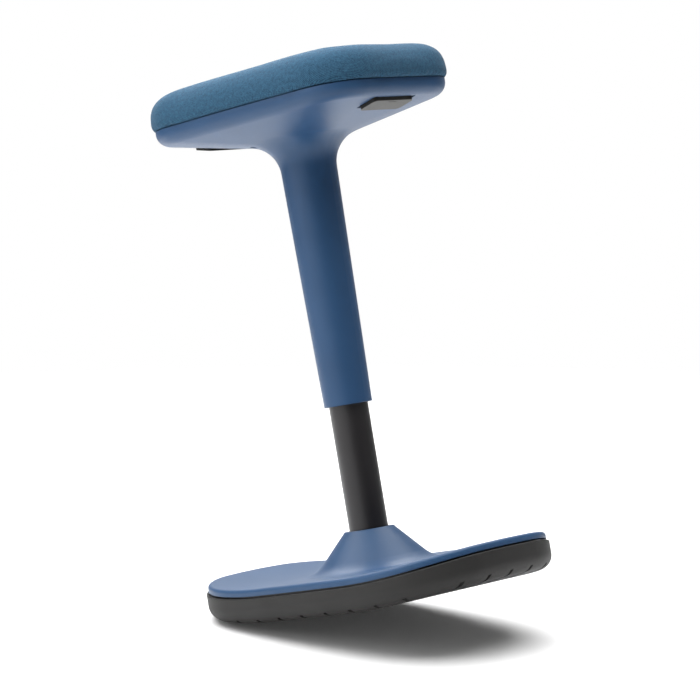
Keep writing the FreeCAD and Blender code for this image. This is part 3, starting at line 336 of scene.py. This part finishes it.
def crowned(piece):
    """Raises the flat top of an even pad to a crown that fades out over its rounded edge."""
    high = max(vert.co.z for vert in piece.data.vertices)
    for vert in piece.data.vertices:
        reach = max(abs(vert.co.x) / (HALF_X - TOP_ROUND), abs(vert.co.y) / (HALF_Y - TOP_ROUND))
        if vert.co.z > high - TOP_ROUND:
            share = (vert.co.z - high) / TOP_ROUND + 1
            vert.co.z += CROWN * max(1 - reach ** CROWN_FADE, 0) * share


def applied(piece, modifier):
    """Applies a modifier to a piece's mesh."""
    bpy.context.view_layer.objects.active = piece
    with bpy.context.temp_override(object=piece, active_object=piece, selected_objects=[piece]):
        bpy.ops.object.modifier_apply(modifier=modifier.name)


def voxel_remeshed(piece, size):
    """Remakes a piece as an even mesh."""
    remesh = piece.modifiers.new("even", "REMESH")
    remesh.mode = "VOXEL"
    remesh.voxel_size = size
    applied(piece, remesh)


PRESSURE = 4.0
INFLATING_FRAMES = 20
FARTHEST_MOVE = 0.003
STAPLED_HEIGHT = 0.004
EASE = Vector((1, 1, 0.3))
EVENING_PASSES = 14


def stapled(place):
    """Whether a point of the cover is held down at the board."""
    return place.z < SEAM + STAPLED_HEIGHT


def inflated(piece):
    """Swells a stapled cover as cloth under pressure, with every move capped and the moves evened."""
    mesh = piece.data
    rest = [vert.co.copy() for vert in mesh.vertices]
    pins = piece.vertex_groups.new(name="stapled")
    pins.add([vert.index for vert in mesh.vertices if stapled(vert.co)], 1.0, "REPLACE")
    cloth = piece.modifiers.new("stuffing", "CLOTH")
    settings = cloth.settings
    settings.use_pressure = True
    settings.uniform_pressure_force = PRESSURE
    settings.vertex_group_mass = "stapled"
    settings.effector_weights.gravity = 0.0
    settings.tension_stiffness = 40.0
    settings.compression_stiffness = 40.0
    settings.bending_stiffness = 2.0
    cloth.point_cache.frame_end = INFLATING_FRAMES
    for step in range(1, INFLATING_FRAMES + 1):
        bpy.context.scene.frame_set(step)
    applied(piece, cloth)
    bpy.context.scene.frame_set(1)
    moves = [(vert.co - start) * EASE for vert, start in zip(mesh.vertices, rest)]
    moves = [move * min(1, FARTHEST_MOVE / max(move.length, FARTHEST_MOVE)) for move in moves]
    neighbours = [[] for _ in moves]
    for edge in mesh.edges:
        low, high = edge.vertices
        neighbours[low].append(high)
        neighbours[high].append(low)
    for _ in range(EVENING_PASSES):
        moves = [sum((moves[other] for other in near), move) / (len(near) + 1)
                 for move, near in zip(moves, neighbours)]
        moves = [Vector() if stapled(start) else move for move, start in zip(moves, rest)]
    for vert, start, move in zip(mesh.vertices, rest, moves):
        vert.co = start + move


OVERHANG = 0.003
END_SWELL = 1.019
cushion = pad_form("seat_cushion", inset=-OVERHANG, low=SEAM, lowered=0)
voxel_remeshed(cushion, 0.005)
crowned(cushion)
for vert in cushion.data.vertices:
    vert.co.x *= END_SWELL
inflated(cushion)


def outward_at(place):
    """The level direction that points out of the cushion's side at a place."""
    return Vector((place.x / HALF_X ** 2, place.y / HALF_Y ** 2, 0)).normalized()


# The weave follows the cloth over the edge, so it reads each point's place on the cloth laid flat.
cloth_place = cushion.data.attributes.new("cloth_place", "FLOAT_VECTOR", "POINT")
for vert, place in zip(cushion.data.vertices, cloth_place.data):
    drop = max(COVER_HIGH.z - CROWN - vert.co.z, 0)
    outward = outward_at(vert.co)
    place.vector = (vert.co.x + outward.x * drop, vert.co.y + outward.y * drop, 0)

TUCK = 0.0052
END_TUCK = 0.0035
TUCK_HEIGHT = 0.010
FLAT_HEIGHT = 0.003
SEAM_GAP = 0.0010
for vert in cushion.data.vertices:
    rise = vert.co.z - SEAM
    outward = outward_at(vert.co)
    if rise < FLAT_HEIGHT:
        vert.co.z = SEAM + SEAM_GAP
    if rise < TUCK_HEIGHT:
        pull = TUCK + END_TUCK * abs(outward.x)
        vert.co -= outward * pull * (1 - max(rise, 0) / TUCK_HEIGHT) ** 3
smoother = cushion.modifiers.new("smoother", "SUBSURF")
smoother.levels = 1
smoother.render_levels = 1
applied(cushion, smoother)
for face in cushion.data.polygons:
    face.use_smooth = True

CLOTH_DARK = (0.002, 0.024, 0.056)
CLOTH_LIGHT = (0.027, 0.116, 0.208)
THREADS_PER_METRE = 480.0
fabric, tree, shader = new_material("woven_cloth")
place = add(tree, "ShaderNodeAttribute", attribute_name="cloth_place").outputs["Vector"]
turned = add(tree, "ShaderNodeMapping", {"Vector": place, "Rotation": (0, 0, math.radians(45))}).outputs[0]
thread_places = add(tree, "ShaderNodeSeparateXYZ", {0: turned}).outputs
warp, weft = [
    worked_out(tree, "SINE", worked_out(tree, "MULTIPLY", thread_places[axis], THREADS_PER_METRE * 2 * math.pi))
    for axis in (0, 1)]
fibre = noise(tree, place, 520.0, detail=4.0, roughness=0.75)
uneven = noise(tree, place, 190.0, detail=3.0, roughness=0.6)
crossed = worked_out(tree, "MULTIPLY_ADD", worked_out(tree, "MULTIPLY", warp, weft), 0.16, fibre)
relief = worked_out(tree, "MULTIPLY_ADD", warp, 0.15, crossed)
mottle = worked_out(tree, "ADD", ranged(tree, relief, 0.2, 0.8), uneven)
finish_with(tree, shader,
            Base_Color=blended(tree, ranged(tree, mottle, 0.5, 1.5), CLOTH_DARK, CLOTH_LIGHT),
            Roughness=0.92,
            Normal=embossed(tree, relief, 0.0004),
            Sheen_Weight=0.03,
            Sheen_Roughness=0.3)
cushion.data.materials.append(fabric)
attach(cushion, "seat")
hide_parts("cushion_cover")

# The foam under the cloth is a little smaller all round, with fine open cells.
FOAM_DARK = (0.55, 0.48, 0.28)
FOAM_LIGHT = (0.85, 0.78, 0.55)
FOAM_INSET = 0.009
CELLS_PER_METRE = 900.0
foam, tree, shader = new_material("cut_foam")
cells = add(tree, "ShaderNodeTexVoronoi", {"Vector": object_place(tree), "Scale": CELLS_PER_METRE},
            feature="F1").outputs["Distance"]
finish_with(tree, shader,
            Base_Color=blended(tree, cells, FOAM_DARK, FOAM_LIGHT),
            Roughness=0.95,
            Normal=embossed(tree, cells, 0.0004))
foam_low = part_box("foam_pad")[0].z
pad = pad_form("moulded_foam", inset=FOAM_INSET, low=foam_low, lowered=FOAM_INSET)
voxel_remeshed(pad, 0.006)
crowned(pad)
pad.data.materials.append(foam)
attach(pad, "seat")
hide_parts("foam_pad")


# Studio
# The stool is photographed tipped back on one end of its rocker, on a white floor under soft boxes.
# It stands upright here, so the floor is tilted under it and the camera is rolled to match.

TIP = math.radians(12.8)
FLOOR_UP = Vector((math.sin(TIP), 0, math.cos(TIP)))
FLOOR_LEVEL = min(FLOOR_UP.dot(vert.co) for vert in nodes["rubber_sole"].data.vertices)
FLOOR_GAP = 0.0003
FLOOR_RADIUS = 3.0

VIEW_ANGLE = math.radians(43)
SIGHT = Vector((math.sin(VIEW_ANGLE), -math.cos(VIEW_ANGLE), 0))
IMAGE_RIGHT = Vector((math.cos(VIEW_ANGLE), math.sin(VIEW_ANGLE), 0))
UP = Vector((0, 0, 1))
LEAN = math.radians(9.46)
VIEW_DISTANCE = 3.7
VIEW_HEIGHT = 0.215
SIDE_STEP = 0.0135
AIM_HEIGHT = 0.320

camera_data = bpy.data.cameras.new("camera")
camera_data.lens = 150
camera_data.sensor_width = 36
camera = bpy.data.objects.new("camera", camera_data)
bpy.context.scene.collection.objects.link(camera)
aim = IMAGE_RIGHT * SIDE_STEP + UP * AIM_HEIGHT
eye = SIGHT * VIEW_DISTANCE + UP * VIEW_HEIGHT + IMAGE_RIGHT * SIDE_STEP
ahead = (aim - eye).normalized()
lean_up = UP * math.cos(LEAN) + IMAGE_RIGHT * math.sin(LEAN)
side = ahead.cross(lean_up).normalized()
upward = side.cross(ahead)
camera.matrix_world = Matrix.Translation(eye) @ Matrix((side, upward, -ahead)).transposed().to_4x4()
bpy.context.scene.camera = camera

floor_form = bmesh.new()
bmesh.ops.create_circle(floor_form, cap_ends=True, segments=96, radius=FLOOR_RADIUS)
floor_mesh = bpy.data.meshes.new("floor")
floor_form.to_mesh(floor_mesh)
floor_form.free()
floor = bpy.data.objects.new("floor", floor_mesh)
bpy.context.scene.collection.objects.link(floor)
floor_turn = UP.rotation_difference(FLOOR_UP).to_matrix().to_4x4()
floor.matrix_world = Matrix.Translation(FLOOR_UP * (FLOOR_LEVEL - FLOOR_GAP)) @ floor_turn

# The paper fades out far from the stool, and can't be seen from below.
paper = bpy.data.materials.new("white_floor")
paper.use_nodes = True
tree = paper.node_tree
tree.nodes.clear()
sheet = add(tree, "ShaderNodeBsdfDiffuse", {"Color": (0.86, 0.86, 0.86, 1)})
lift = add(tree, "ShaderNodeEmission", {"Color": (1, 1, 1, 1), "Strength": 0.03})
matt = add(tree, "ShaderNodeAddShader", {0: sheet.outputs[0], 1: lift.outputs[0]})
clear = add(tree, "ShaderNodeBsdfTransparent")
behind = add(tree, "ShaderNodeNewGeometry").outputs["Backfacing"]
reach = add(tree, "ShaderNodeVectorMath", {0: object_place(tree)}, operation="LENGTH").outputs["Value"]
hide = worked_out(tree, "MAXIMUM", ranged(tree, reach, 1.4, 2.6), behind)
seen_paper = add(tree, "ShaderNodeMixShader", {0: hide, 1: matt.outputs[0], 2: clear.outputs[0]})
add(tree, "ShaderNodeOutputMaterial", {"Surface": seen_paper.outputs[0]})
floor.data.materials.append(paper)


LIGHT_TARGET = UP * 0.35


def soft_box(name, right, toward, up, width, height, power):
    """A soft box aimed at the stool, placed by the camera's right, towards the camera and off the floor."""
    data = bpy.data.lights.new(name, "AREA")
    data.shape = "RECTANGLE"
    data.size = width
    data.size_y = height
    data.energy = power
    light = bpy.data.objects.new(name, data)
    bpy.context.scene.collection.objects.link(light)
    place = IMAGE_RIGHT * right + SIGHT * toward + FLOOR_UP * up
    facing = (LIGHT_TARGET - place).to_track_quat("-Z", "Y").to_matrix().to_4x4()
    light.matrix_world = Matrix.Translation(place) @ facing


soft_box("overhead", right=-0.3, toward=-0.4, up=2.6, width=4.2, height=4.2, power=230)
soft_box("left_key", right=-2.4, toward=0.6, up=1.8, width=1.6, height=1.8, power=14)
soft_box("rear_rim", right=-0.4, toward=-2.0, up=2.0, width=1.6, height=1.0, power=26)

# White panels round the stool light and reflect in it, while the camera itself sees plain white.
PANEL_ANGLE = math.radians(58)
PANEL_SIDE = SIGHT * math.cos(PANEL_ANGLE) - IMAGE_RIGHT * math.sin(PANEL_ANGLE)
LOW_BACK = (-SIGHT - UP * 0.35).normalized()
ROOM_GLOW = 0.06
world = bpy.data.worlds.new("studio")
bpy.context.scene.world = world
world.use_nodes = True
tree = world.node_tree
tree.nodes.clear()
direction = add(tree, "ShaderNodeTexCoord").outputs["Generated"]
glow = ROOM_GLOW
for panel, dark_below, full_above, strength in (
        (PANEL_SIDE, 0.62, 0.86, 0.96), (-SIGHT, 0.45, 0.95, 0.33), (LOW_BACK, 0.60, 0.97, 0.34),
        (IMAGE_RIGHT, 0.55, 0.95, 0.14)):
    facing = add(tree, "ShaderNodeVectorMath", {0: direction, 1: tuple(panel)}, operation="DOT_PRODUCT")
    share = ranged(tree, facing.outputs["Value"], dark_below, full_above)
    glow = worked_out(tree, "MULTIPLY_ADD", share, strength, glow)
lit = add(tree, "ShaderNodeBackground", {"Color": (1, 1, 1, 1), "Strength": glow})
seen = add(tree, "ShaderNodeBackground", {"Color": (1, 1, 1, 1), "Strength": 1.0})
ray = add(tree, "ShaderNodeLightPath").outputs["Is Camera Ray"]
choice = add(tree, "ShaderNodeMixShader", {0: ray, 1: lit.outputs[0], 2: seen.outputs[0]})
add(tree, "ShaderNodeOutputWorld", {"Surface": choice.outputs[0]})
bpy.context.scene.view_settings.view_transform = "Standard"
